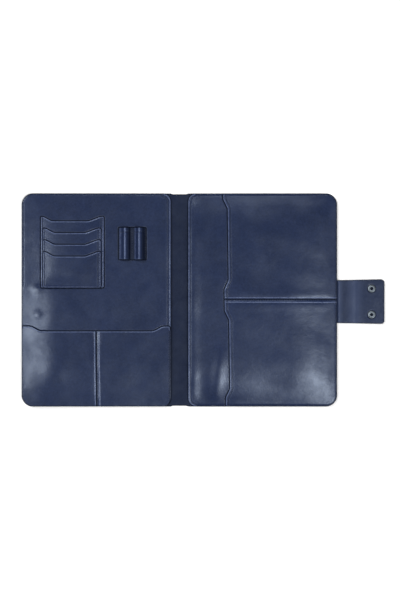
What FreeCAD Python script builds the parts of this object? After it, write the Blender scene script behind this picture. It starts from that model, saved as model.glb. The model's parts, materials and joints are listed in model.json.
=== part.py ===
"""Leather tablet folio with a snap strap, laid open on a table, inner side up.

Millimetres. X runs across the open folio from the front cover (-X) over the spine to the back
cover (+X) and the strap, Y runs along the spine, +Z is up. The origin is the middle of the
spine's underside, on the table.

Each cover is an outer leather, a lining and a dished pocket panel sewn on along three sides and
open towards the spine. Smaller pockets are leaves sewn on top of the panels. The covers fold about
two creases that lie at the inner face of the spine; the strap folds about two creases at its own
inner face. The studs on the front cover's outer face prop it up by a fraction of a degree.
"""

import FreeCAD
import Part
import Sketcher

import math
import os
import re

DIMENSIONS = [
    ("cover_reach", 240.4, "spine centre to a cover's outer edge"),
    ("cover_height", 325.0, "covers, along Y"),
    ("spine_height", 322.6, "spine strip, along Y"),
    ("crease_reach", 11.8, "spine centre to a crease"),
    ("crease_level", 2.3, "height of the crease axes"),
    ("crease_gap", 0.4, "half the slit between rigid parts at a crease"),
    ("outer_corner", 17.0, "corner radius at the outer edges"),
    ("outer_leather", 1.4, "outer leather thickness"),
    ("lining_leather", 0.8, "lining thickness"),
    ("panel_leather", 1.3, "thickness of panels and large leaves"),
    ("mouth_reach", 12.6, "spine centre to a panel's open edge"),
    ("mouth_corner", 12.0, "corner radius beside the open edge"),
    ("sleeve_room", 5.4, "clear depth of the tablet sleeve"),
    ("document_room", 2.4, "clear depth of the document pocket"),
    ("seam_flange", 3.5, "flat sewn rim of a panel"),
    ("seam_slope", 6.0, "width of the rise inside the rim"),
    ("wave_radius", 9.0, "rounding of the waved pocket edges"),
    ("wave_run", 14.0, "length of one step of a waved edge"),
    ("twin_top", 66.0, "twin pocket's edge at the top, from the spine centre"),
    ("twin_lean", 4.0, "how far that edge leans outwards by the bottom"),
    ("twin_notch", 6.6, "depth of the thumb recesses"),
    ("twin_high", 146.0, "upper recess, its upper step"),
    ("twin_mid", 23.5, "middle tab, half height"),
    ("twin_low", 142.0, "lower recess, its lower step"),
    ("lower_top", 39.7, "lower pocket's shoulders, below the middle"),
    ("lower_dip", 7.4, "drop of its middle edge"),
    ("lower_inset", 1.5, "its set-back from the panel's open edge"),
    ("lower_shoulder_out", 14.0, "width of the outer shoulder"),
    ("lower_shoulder_in", 26.0, "width of the inner shoulder"),
    ("lower_divide", 126.2, "divider, from the spine centre"),
    ("card_leather", 0.9, "card leaf thickness"),
    ("card_outer", 211.3, "card block's outer side, from the spine centre"),
    ("card_inner", 114.6, "card block's inner side"),
    ("card_bottom", 18.3, "card block's lower edge, above the middle"),
    ("card_top", 127.3, "first card leaf's shoulders"),
    ("card_pitch", 17.9, "step from one card leaf to the next"),
    ("card_dip", 6.9, "drop of a card leaf's middle edge"),
    ("card_shoulder_out", 4.0, "width of a card leaf's outer shoulder"),
    ("card_run_out", 13.0, "its drop to the middle edge, along X"),
    ("card_shoulder_in", 6.0, "width of a card leaf's inner shoulder"),
    ("card_run_in", 18.0, "its drop to the middle edge, along X"),
    ("card_radius", 12.0, "rounding of the card leaves' edges"),
    ("card_step_out", 3.6, "set-back of the upper three leaves, outer side"),
    ("card_step_in", 4.6, "set-back of the upper three leaves, inner side"),
    ("loop_outer", 93.1, "pen loop piece's outer side, from the spine centre"),
    ("loop_inner", 50.8, "pen loop piece's inner side"),
    ("loop_low", 61.3, "pen loop piece's lower end, above the middle"),
    ("loop_length", 49.2, "pen loops, along Y"),
    ("loop_middle", 71.7, "halfway between the loops"),
    ("loop_pitch", 22.0, "loop to loop"),
    ("loop_width", 14.6, "loop, outside"),
    ("loop_rise", 8.8, "loop, outside height"),
    ("loop_leather", 1.1, "loop leather thickness"),
    ("strap_middle", -2.5, "strap's centre line, along Y"),
    ("strap_root_half", 32.7, "half width at the cover"),
    ("strap_tip_half", 34.2, "half width at the tip"),
    ("strap_reach", 312.4, "spine centre to the strap's tip"),
    ("strap_corner", 5.0, "corner radius at the tip"),
    ("strap_outer", 1.3, "strap outer leather thickness"),
    ("strap_lining", 1.1, "strap lining thickness"),
    ("strap_clear", 0.5, "cover edge to the strap's first crease"),
    ("tongue_length", 14.0, "skived root, sewn into the cover's edge"),
    ("snap_reach", 292.9, "spine centre to the sockets"),
    ("snap_half", 19.8, "half the distance between the two snaps"),
    ("snap_clear", 0.1, "closed socket face to stud flange"),
    ("socket_radius", 5.8, "socket, outside"),
    ("socket_height", 2.2, "socket, above the strap"),
    ("socket_bore", 2.45, "socket hole radius"),
    ("spring_wire", 0.25, "socket spring, wire radius"),
    ("stud_radius", 5.3, "stud flange radius"),
    ("stud_flange", 0.6, "stud flange thickness"),
    ("stud_height", 2.1, "stud knob, above the flange"),
    ("stud_neck", 2.0, "stud neck radius"),
    ("stud_head", 2.35, "stud head radius"),
    ("stud_chamfer", 0.6, "bevel of the stud head's tip"),
    ("rivet_shank", 1.7, "stud rivet shank radius"),
    ("rivet_head", 4.5, "stud rivet head radius"),
    ("rivet_flange", 0.6, "stud rivet head thickness"),
    ("cap_radius", 6.2, "snap cap radius"),
    ("cap_height", 1.3, "snap cap height"),
    ("post_radius", 1.9, "snap cap post radius"),
    ("post_bore", 1.2, "snap cap post, inside"),
    ("fit", 0.06, "play round rivets and posts"),
    ("thread_inset", 2.0, "edge to a seam's centre line"),
    ("thread_width", 0.8, "thread line width"),
    ("thread_rise", 0.3, "thread line height"),
    ("seam_stop", 2.0, "gap from a seam's end to the edge or crease it stops at"),
    ("card_seam_bend", 2.0, "rounding of the card block's seam at its lower corners"),
]

doc = FreeCAD.newDocument("Folio")
dims = doc.addObject("Spreadsheet::Sheet", "Dims")
ALIASES = set()
parts = {}
front_parts = []


def fill_sheet():
    """Writes one row per dimension: its value, with an alias, and a note."""
    for row, (alias, number, note) in enumerate(DIMENSIONS, start=1):
        dims.set(f"A{row}", str(number))
        dims.setAlias(f"A{row}", alias)
        dims.set(f"B{row}", note)
        ALIASES.add(alias)
    doc.recompute()


def bind(text):
    """The expression text with every alias spelled as a cell of the sheet."""
    return re.sub(r"[a-z_]+", lambda m: "Dims." + m[0] if m[0] in ALIASES else m[0], text)


def value(text):
    """The number that an expression over the sheet's aliases gives."""
    result = dims.evalExpression(bind(text))
    return float(getattr(result, "Value", result))


# ---------------------------------------------------------------- derived heights and places
BASE = "(outer_leather + lining_leather)"
ROOM = {"front": "document_room", "back": "sleeve_room"}
SIGN = {"front": "-1", "back": "1"}
HALF = "(cover_height / 2)"
STRAP_BOTTOM = "outer_leather"
STRAP_TOP = "(outer_leather + strap_outer + strap_lining)"
STRAP_CREASE = "(cover_reach + strap_clear)"
ABOVE_ALL = "20"
CLOSED_HEIGHT = "(2 * crease_reach + 2 * crease_level)"
STRAP_WRAP = f"({CLOSED_HEIGHT} + socket_height + stud_flange + snap_clear - {STRAP_TOP})"
STUD_REACH = f"(2 * {STRAP_CREASE} + {STRAP_WRAP} - snap_reach)"


def field_top(side, layers):
    """Height of the flat field of a cover's panel (one layer) or of a leaf on it (two layers)."""
    return f"({BASE} + {ROOM[side]} + {layers} * panel_leather)"


def flange_top(layers):
    """Height of a cover's sewn rim with that many leathers on the lining."""
    return f"({BASE} + {layers} * panel_leather)"


# ---------------------------------------------------------------- drawing helpers
def plane(body, role):
    return next(f for f in body.Origin.OriginFeatures if f.Role == role)


def new_body(label):
    body = doc.addObject("PartDesign::Body", label)
    body.Label = label
    return body


def outline(body, corners, level="0", role="XY_Plane"):
    """A closed polygon sketch whose corners are pairs of expressions."""
    sketch = body.newObject("Sketcher::SketchObject", body.Label + "_outline")
    sketch.AttachmentSupport = (plane(body, role), "")
    sketch.MapMode = "FlatFace"
    sketch.setExpression("AttachmentOffset.Base.z", bind(level))
    spots = [FreeCAD.Vector(value(x), value(y), 0) for x, y in corners]
    count = len(spots)
    for i, spot in enumerate(spots):
        sketch.addGeometry(Part.LineSegment(spot, spots[(i + 1) % count]), False)
    for i, (x, y) in enumerate(corners):
        sketch.addConstraint(Sketcher.Constraint("Coincident", i, 2, (i + 1) % count, 1))
        for kind, text, number in (("DistanceX", x, spots[i].x), ("DistanceY", y, spots[i].y)):
            index = sketch.addConstraint(Sketcher.Constraint(kind, -1, 1, i, 1, number))
            sketch.renameConstraint(index, f"{kind[-1].lower()}{i}")
            sketch.setExpression(f"Constraints.{kind[-1].lower()}{i}", bind(text))
    return sketch


def pad(body, corners, level, thickness):
    feature = body.newObject("PartDesign::Pad", body.Label + "_pad")
    feature.Profile = outline(body, corners, level)
    feature.setExpression("Length", bind(thickness))
    doc.recompute()
    return feature


def upright_edges(shape, spots, low):
    """Names of the vertical edges over the given spots whose middle is above the height low."""
    names = []
    for i, edge in enumerate(shape.Edges, start=1):
        a, b = edge.Vertexes[0].Point, edge.Vertexes[-1].Point
        upright = abs(a.x - b.x) + abs(a.y - b.y) < 1e-6 and abs(a.z - b.z) > 1e-6
        if upright and (a.z + b.z) / 2 > low:
            if any(math.hypot(a.x - x, a.y - y) < 1e-3 for x, y in spots):
                names.append(f"Edge{i}")
    return names


def round_corners(body, radius, corners, low="-1"):
    """Fillets the vertical edges over the given corners of the body's last feature."""
    tip = body.Tip
    spots = [(value(x), value(y)) for x, y in corners]
    names = upright_edges(tip.Shape, spots, value(low))
    if len(names) != len(corners):
        raise RuntimeError(f"{body.Label}: {len(corners)} corners, {len(names)} edges")
    fillet = body.newObject("PartDesign::Fillet", body.Label + "_round")
    fillet.Base = (tip, names)
    fillet.setExpression("Radius", bind(radius))
    doc.recompute()


def plate(label, corners, level, thickness, rounds=()):
    """A flat leather piece: a padded outline with some of its corners rounded."""
    body = new_body(label)
    pad(body, corners, level, thickness)
    for radius, spots in rounds:
        round_corners(body, radius, spots)
    return body


def drill(body, spots, radius):
    """Round holes right through a plate."""
    sketch = body.newObject("Sketcher::SketchObject", body.Label + "_holes")
    sketch.AttachmentSupport = (plane(body, "XY_Plane"), "")
    sketch.MapMode = "FlatFace"
    for i, (x, y) in enumerate(spots):
        centre = FreeCAD.Vector(value(x), value(y), 0)
        sketch.addGeometry(Part.Circle(centre, FreeCAD.Vector(0, 0, 1), value(radius)), False)
        for kind, text, number in (("DistanceX", x, centre.x), ("DistanceY", y, centre.y)):
            index = sketch.addConstraint(Sketcher.Constraint(kind, -1, 1, i, 3, number))
            sketch.renameConstraint(index, f"{kind[-1].lower()}{i}")
            sketch.setExpression(f"Constraints.{kind[-1].lower()}{i}", bind(text))
        index = sketch.addConstraint(Sketcher.Constraint("Radius", i, value(radius)))
        sketch.renameConstraint(index, f"r{i}")
        sketch.setExpression(f"Constraints.r{i}", bind(radius))
    before = body.Tip.Shape.Volume
    pocket = body.newObject("PartDesign::Pocket", body.Label + "_drill")
    pocket.Profile = sketch
    pocket.Type = "ThroughAll"
    pocket.Midplane = True
    doc.recompute()
    if body.Tip.Shape.Volume > before - 0.1:
        raise RuntimeError(f"{body.Label}: the holes cut nothing")


def turned(label, profile):
    """A round metal piece: a profile of (radius, height) pairs turned about Z."""
    body = new_body(label)
    feature = body.newObject("PartDesign::Revolution", label + "_turn")
    sketch = outline(body, profile, role="XZ_Plane")
    feature.Profile = sketch
    feature.ReferenceAxis = (sketch, ["V_Axis"])
    feature.Angle = 360
    doc.recompute()
    return body


def block(label, low, high):
    """A box between two corners given as expressions."""
    box = doc.addObject("Part::Box", label)
    for side, axis, a, b in zip(("Length", "Width", "Height"), "xyz", low, high):
        box.setExpression(side, bind(f"({b}) - ({a})"))
        box.setExpression(f"Placement.Base.{axis}", bind(a))
    doc.recompute()
    return box


def combine(kind, label, base, tool):
    """Part::Cut, Part::Fuse or Part::Common of two objects."""
    result = doc.addObject(kind, label)
    result.Base = base
    result.Tool = tool
    doc.recompute()
    return result


def keep(obj, label, front=False):
    """Makes an object a sub-part. Those of the front cover are tilted with it at the end."""
    obj.Label = label
    parts[label] = obj
    if front:
        front_parts.append(label)
    return obj


# ---------------------------------------------------------------- covers and spine
def rectangle(x_low, x_high, half):
    return [(x_low, f"-{half}"), (x_high, f"-{half}"), (x_high, half), (x_low, half)]


def cover_sheet(side, label, level, thickness):
    """A flat sheet the size of one cover, from its crease to its outer edge."""
    sign = SIGN[side]
    inner, outer = f"{sign} * (crease_reach + crease_gap)", f"{sign} * cover_reach"
    corners = rectangle(inner, outer, HALF)
    return plate(label, corners, level, thickness, [("outer_corner", [corners[1], corners[2]])])


def envelope(side, layers):
    """The space under the top face of a cover's pocket panel, or of a leaf sewn on top of it.

    A flat rim, then a slope up to a flat field. The side at the spine is upright.
    """
    sign = SIGN[side]
    name = f"{side}_envelope_{layers}"
    mouth = f"{sign} * mouth_reach"
    rim = rectangle(mouth, f"{sign} * cover_reach", HALF)
    flange = plate(f"{name}_flange", rim, BASE, f"{layers} * panel_leather")
    past_mouth = f"{sign} * (mouth_reach - 2)"
    foot = rectangle(past_mouth, f"{sign} * (cover_reach - seam_flange)", f"({HALF} - seam_flange)")
    hill = plate(f"{name}_hill", foot, BASE, f"{field_top(side, layers)} - {BASE}",
                 [("outer_corner - seam_flange", foot[1:3])])
    upright = hill.Tip
    top, open_x = value(field_top(side, layers)), value(past_mouth)
    rims = []
    for i, edge in enumerate(upright.Shape.Edges, start=1):
        box = edge.BoundBox
        at_mouth = abs(box.XMin - open_x) < 1e-3 and abs(box.XMax - open_x) < 1e-3
        if abs(box.ZMin - top) < 1e-3 and not at_mouth:
            rims.append(f"Edge{i}")
    slope = hill.newObject("PartDesign::Chamfer", name + "_slope")
    slope.Base = (upright, rims)
    slope.ChamferType = "Two distances"
    slope.setExpression("Size", bind(ROOM[side]))
    slope.setExpression("Size2", bind("seam_slope"))
    doc.recompute()
    both = combine("Part::Fuse", f"{name}_pan", flange, hill)
    outer = plate(f"{name}_outline", rim, BASE, ABOVE_ALL,
                  [("outer_corner", [rim[1], rim[2]]), ("mouth_corner", [rim[0], rim[3]])])
    return combine("Part::Common", name, both, outer)


def field_prism(side, label, level, depth):
    """An upright block over the flat field of a cover's panel, open past the panel's mouth."""
    sign = SIGN[side]
    border = "(seam_flange + seam_slope)"
    corners = rectangle(f"{sign} * (mouth_reach - 1)", f"{sign} * (cover_reach - {border})",
                        f"({HALF} - {border})")
    return plate(label, corners, level, depth, [(f"outer_corner - {border}", corners[1:3])])


def split_and_keep(side, solid, label, layers):
    """Keeps a dished leather as two sub-parts: its flat field and its sewn, sloped border."""
    field = field_prism(side, f"{label}_field", "0", f"{field_top(side, layers)} + 1")
    flat = combine("Part::Common", f"{label}_flat", solid, field)
    rim = combine("Part::Cut", f"{label}_rim", solid, field)
    keep(flat, label, side == "front")
    keep(rim, f"{label}_border", side == "front")


def pocket_panel(side, envelope_body, label):
    """The dished panel: the space under its top face less the pocket's cavity."""
    cavity = field_prism(side, f"{label}_cavity", BASE, ROOM[side])
    panel = combine("Part::Cut", f"{label}_whole", envelope_body, cavity)
    split_and_keep(side, panel, label, 1)


def leaf_on_panel(side, label, corners, rounds, under, over):
    """A pocket leaf that follows the panel's top face inside the given outline."""
    prism = plate(f"{label}_prism", corners, BASE, ABOVE_ALL, rounds)
    blank = combine("Part::Common", f"{label}_blank", over, prism)
    leaf = combine("Part::Cut", f"{label}_whole", blank, under)
    split_and_keep(side, leaf, label, 2)


def lined_covers():
    """Outer leather and lining of both covers and of the spine."""
    thickness = {"outer_leather": ("0", "outer_leather"),
                 "lining": ("outer_leather", "lining_leather")}
    for name, (level, depth) in thickness.items():
        front = cover_sheet("front", f"{name}_front", level, depth)
        drill(front, [(f"-{STUD_REACH}", f"strap_middle {s} snap_half") for s in "+-"],
              "rivet_shank + fit")
        keep(front, f"{name}_front", True)
        keep(cover_sheet("back", f"{name}_back_sheet", level, depth), f"{name}_back")
        reach = "(crease_reach - crease_gap)"
        strip = rectangle(f"-{reach}", reach, "(spine_height / 2)")
        keep(plate(f"{name}_spine", strip, level, depth), f"{name}_spine")
    notch = block("tongue_notch",
                  ("cover_reach - tongue_length", "strap_middle - strap_root_half",
                   "outer_leather"),
                  ("cover_reach + 1", "strap_middle + strap_root_half", BASE))
    keep(combine("Part::Cut", "lining_back_notched", parts["lining_back"], notch), "lining_back")


def twin_edge(y, recess="0"):
    """The x of the twin pocket's edge at a height y, where it is set back by the recess."""
    return f"(twin_top + twin_lean * (0.5 - ({y}) / cover_height) + {recess})"


def back_pockets():
    """The tablet sleeve's panel and the twin pocket leaf with its waved edge."""
    under, over = envelope("back", 1), envelope("back", 2)
    pocket_panel("back", under, "sleeve_panel")
    waved = []
    for middle, recessed_below in (("twin_high", True), ("twin_mid", False),
                                   ("-twin_mid", True), ("-twin_low", False)):
        above, below = ("0", "twin_notch") if recessed_below else ("twin_notch", "0")
        start, end = f"({middle} + wave_run / 2)", f"({middle} - wave_run / 2)"
        waved += [(twin_edge(start, above), start), (twin_edge(end, below), end)]
    top, bottom = (twin_edge(HALF), HALF), (twin_edge(f"-{HALF}"), f"-{HALF}")
    corners = [("cover_reach", HALF), top] + waved + [bottom, ("cover_reach", f"-{HALF}")]
    rounds = [("wave_radius", waved), ("outer_corner", [corners[0], corners[-1]])]
    leaf_on_panel("back", "twin_pocket_leaf", corners, rounds, under, over)


def front_pockets():
    """The document pocket's panel and the divided lower pocket leaf."""
    under, over = envelope("front", 1), envelope("front", 2)
    pocket_panel("front", under, "document_panel")
    inner = "-(mouth_reach + lower_inset)"
    high, dip = "-lower_top", "-(lower_top + lower_dip)"
    waved = [
        ("-(cover_reach - lower_shoulder_out)", high),
        ("-(cover_reach - lower_shoulder_out - wave_run)", dip),
        (f"{inner} - lower_shoulder_in", dip),
        (f"{inner} - lower_shoulder_in + wave_run", high),
    ]
    corners = [("-cover_reach", f"-{HALF}"), ("-cover_reach", high)] + waved
    corners += [(inner, high), (inner, f"-{HALF}")]
    rounds = [("wave_radius", waved), ("outer_corner", corners[:1]),
              ("mouth_corner - lower_inset", corners[-1:])]
    leaf_on_panel("front", "lower_pocket_leaf", corners, rounds, under, over)


def card_sides(i):
    """Outer and inner x of card leaf i; the leaves on top of the first are a little narrower."""
    if i == 0:
        return "-card_outer", "-card_inner"
    return "(card_step_out - card_outer)", "-(card_inner + card_step_in)"


def card_leaves():
    """Four card leaves, each one lower and on top of the last."""
    for i in range(4):
        outer, inner = card_sides(i)
        low, high = "card_bottom", f"(card_top - {i} * card_pitch)"
        dip = f"({high} - card_dip)"
        waved = [
            (f"{inner} - card_shoulder_in", high),
            (f"{inner} - card_shoulder_in - card_run_in", dip),
            (f"{outer} + card_shoulder_out + card_run_out", dip),
            (f"{outer} + card_shoulder_out", high),
        ]
        corners = [(outer, low), (inner, low), (inner, high)] + waved + [(outer, high)]
        level = f"{field_top('front', 1)} + {i} * card_leather"
        leaf = plate(f"card_leaf_{i + 1}", corners, level, "card_leather",
                     [("card_radius", waved)])
        keep(leaf, f"card_leaf_{i + 1}", True)


def pen_loops():
    """One strip of leather that lies flat between two arched loops."""
    level = field_top("front", 1)
    low, high = "loop_low", "(loop_low + loop_length)"
    body = new_body("pen_loops")
    pad(body, [("-loop_outer", low), ("-loop_inner", low), ("-loop_inner", high),
               ("-loop_outer", high)], level, "loop_leather")
    for i, way in enumerate("-+"):
        centre = f"(-loop_middle {way} loop_pitch / 2)"
        arch = [(f"{centre} - loop_width / 2", low), (f"{centre} + loop_width / 2", low),
                (f"{centre} + loop_width / 2", high), (f"{centre} - loop_width / 2", high)]
        pad(body, arch, level, "loop_rise")
    crown = value(f"{level} + loop_rise")
    sides = [value(f"-loop_middle {a} loop_pitch / 2 {b} loop_width / 2")
             for a in "+-" for b in "+-"]
    names = []
    arches = body.Tip
    for i, edge in enumerate(arches.Shape.Edges, start=1):
        box = edge.BoundBox
        along = box.YMax - box.YMin > 1 and abs(box.ZMin - crown) < 1e-3
        if along and any(abs(box.XMin - x) < 1e-3 for x in sides):
            names.append(f"Edge{i}")
    fillet = body.newObject("PartDesign::Fillet", "loop_crown")
    fillet.Base = (arches, names)
    fillet.setExpression("Radius", bind("loop_width / 2 - 0.6"))
    doc.recompute()
    result = body
    for i, way in enumerate("-+"):
        tunnel = block(f"loop_tunnel_{i}",
                       (f"-loop_middle {way} loop_pitch / 2 - loop_width / 2 + loop_leather",
                        "loop_low - 1", level),
                       (f"-loop_middle {way} loop_pitch / 2 + loop_width / 2 - loop_leather",
                        "loop_low + loop_length + 1", f"{level} + loop_rise - loop_leather"))
        rounding = doc.addObject("Part::Fillet", f"loop_tunnel_round_{i}")
        rounding.Base = tunnel
        bore_radius = value("loop_width / 2 - loop_leather - 0.6")
        top = value(f"{level} + loop_rise - loop_leather")
        rounding.Edges = [
            (n, bore_radius, bore_radius) for n, edge in enumerate(tunnel.Shape.Edges, start=1)
            if edge.BoundBox.YLength > 1 and abs(edge.BoundBox.ZMin - top) < 1e-3]
        doc.recompute()
        result = combine("Part::Cut", f"pen_loops_{i}", result, rounding)
    keep(result, "pen_loops", True)


# ---------------------------------------------------------------- strap
def strap_half(x):
    """Half the strap's width at a distance x from the spine centre, as an expression."""
    share = f"(({x}) - cover_reach) / (strap_reach - cover_reach)"
    return f"(strap_root_half + (strap_tip_half - strap_root_half) * {share})"


def strap_sheet(label, x_low, x_high, level, thickness, tip=False):
    corners = [(x_low, f"strap_middle - {strap_half(x_low)}"),
               (x_high, f"strap_middle - {strap_half(x_high)}"),
               (x_high, f"strap_middle + {strap_half(x_high)}"),
               (x_low, f"strap_middle + {strap_half(x_low)}")]
    rounds = [("strap_corner", corners[1:3])] if tip else []
    return keep(plate(label, corners, level, thickness, rounds), label)


def strap():
    """The skived tongue in the cover's seam, and the two-layer side and end of the strap."""
    tongue = rectangle("(cover_reach - tongue_length + 0.1)", "(cover_reach + 0.1)",
                       "(strap_root_half - 0.1)")
    tongue = [(x, f"strap_middle + {y}") for x, y in tongue]
    keep(plate("strap_tongue", tongue, STRAP_BOTTOM, "lining_leather"), "strap_tongue")
    second = f"({STRAP_CREASE} + {STRAP_WRAP})"
    for name, level, depth in (("outer", STRAP_BOTTOM, "strap_outer"),
                               ("lining", "(outer_leather + strap_outer)", "strap_lining")):
        strap_sheet(f"strap_{name}_side", f"{STRAP_CREASE} + crease_gap",
                    f"{second} - crease_gap", level, depth)
        end = strap_sheet(f"strap_{name}_end", f"{second} + crease_gap", "strap_reach",
                          level, depth, tip=True)
        drill(end, [("snap_reach", f"strap_middle {s} snap_half") for s in "+-"],
              "post_radius + fit")


# ---------------------------------------------------------------- snaps
def pair(label, piece, x, z, front=False):
    """Two of a round piece, at the two snap places, as one sub-part."""
    here = FreeCAD.Vector(value(x), value("strap_middle + snap_half"), value(z))
    piece.Placement = FreeCAD.Placement(here, FreeCAD.Rotation())
    twin = doc.addObject("Part::Mirroring", f"{label}_twin")
    twin.Source = piece
    twin.Base = FreeCAD.Vector(0, value("strap_middle"), 0)
    twin.Normal = FreeCAD.Vector(0, 1, 0)
    both = doc.addObject("Part::Compound", f"{label}_pair")
    both.Links = [piece, twin]
    doc.recompute()
    return keep(both, label, front)


def snaps():
    """Sockets, their springs and caps on the strap, studs and rivets on the front cover."""
    pair("snap_sockets", turned("socket", [
        ("socket_bore", "0"), ("socket_radius", "0"), ("socket_radius", "0.5"),
        ("socket_radius - 0.5", "1.0"), ("socket_radius - 1.4", "1.25"),
        ("socket_radius - 1.8", "socket_height - 0.35"),
        ("socket_radius - 2.2", "socket_height"), ("socket_bore + 0.35", "socket_height"),
        ("socket_bore", "socket_height - 0.3"), ("socket_bore", "1.45"),
        ("socket_bore + 0.75", "1.45"), ("socket_bore + 0.75", "0.75"),
        ("socket_bore", "0.75")]), "snap_reach", STRAP_TOP)
    ring = doc.addObject("Part::Torus", "spring")
    ring.setExpression("Radius1", bind("socket_bore + 0.35"))
    ring.setExpression("Radius2", bind("spring_wire"))
    pair("snap_springs", ring, "snap_reach", f"{STRAP_TOP} + 1.1")
    depth = "(strap_outer + strap_lining)"
    pair("snap_caps", turned("cap", [
        ("0", "-cap_height"), ("cap_radius * 0.55", "-cap_height + 0.08"),
        ("cap_radius * 0.85", "-cap_height * 0.68"), ("cap_radius", "-0.3"),
        ("cap_radius", "0"), ("post_radius", "0"), ("post_radius", f"{depth} - 0.05"),
        ("post_bore", f"{depth} - 0.05"), ("post_bore", "0.6"), ("0", "0.6")]),
        "snap_reach", STRAP_BOTTOM)
    tip = "(-stud_flange - stud_height)"
    pair("snap_studs", turned("stud", [
        ("rivet_shank + fit", "0"), ("stud_radius - 0.2", "0"), ("stud_radius", "-0.2"),
        ("stud_radius", "-stud_flange + 0.1"), ("stud_neck + 0.3", "-stud_flange"),
        ("stud_neck", "-stud_flange - 0.25"), ("stud_neck", "-stud_flange - 0.7"),
        ("stud_head", "-stud_flange - 1.1"), ("stud_head", f"{tip} + stud_chamfer"),
        ("stud_head - stud_chamfer", tip), ("0", tip), ("0", "-0.5"),
        ("rivet_shank + fit", "-0.5")]), f"-{STUD_REACH}", "0", True)
    pair("stud_rivets", turned("rivet", [
        ("0", "-0.45"), ("rivet_shank", "-0.45"), ("rivet_shank", BASE),
        ("rivet_head", BASE), ("rivet_head", f"{BASE} + 0.25"),
        ("rivet_head - 0.8", f"{BASE} + rivet_flange"), ("0", f"{BASE} + rivet_flange")]),
        f"-{STUD_REACH}", "0", True)


# ---------------------------------------------------------------- seams
def rounded_path(points, radii, height):
    """A wire of straight runs joined by tangent arcs of the given radii at the inner points."""
    spots = [FreeCAD.Vector(x, y, height) for x, y in points]
    edges, start = [], spots[0]
    for here, before, after, radius in zip(spots[1:-1], spots, spots[2:], radii):
        back, ahead = (before - here).normalize(), (after - here).normalize()
        half_turn = back.getAngle(ahead) / 2
        run = radius / math.tan(half_turn)
        towards = (back + ahead).normalize()
        middle = here + towards * (radius / math.sin(half_turn) - radius)
        first, last = here + back * run, here + ahead * run
        edges += [Part.LineSegment(start, first).toShape(), Part.Arc(first, middle, last).toShape()]
        start = last
    edges.append(Part.LineSegment(start, spots[-1]).toShape())
    return Part.Wire(edges)


def seam(points, radii, level):
    """A flat thread line along a path, lying on the leather at the given height."""
    height = value(level)
    spots = [(value(x), value(y)) for x, y in points]
    path = rounded_path(spots, [value(r) for r in radii], height)
    start = path.Edges[0].valueAt(path.Edges[0].FirstParameter)
    along = path.Edges[0].tangentAt(path.Edges[0].FirstParameter)
    side = FreeCAD.Vector(-along.y, along.x, 0) * (value("thread_width") / 2)
    rise = FreeCAD.Vector(0, 0, value("thread_rise"))
    corners = [start + side, start - side, start - side + rise, start + side + rise]
    section = Part.makePolygon(corners + corners[:1])
    return path.makePipeShell([section], True, False)


def thread(label, seams, front=False):
    """The thread of one or more seam stretches, as a sub-part with one solid per stretch."""
    feature = doc.addObject("Part::Feature", label)
    feature.Shape = Part.makeCompound([seam(*stretch) for stretch in seams])
    keep(feature, label, front)


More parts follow.
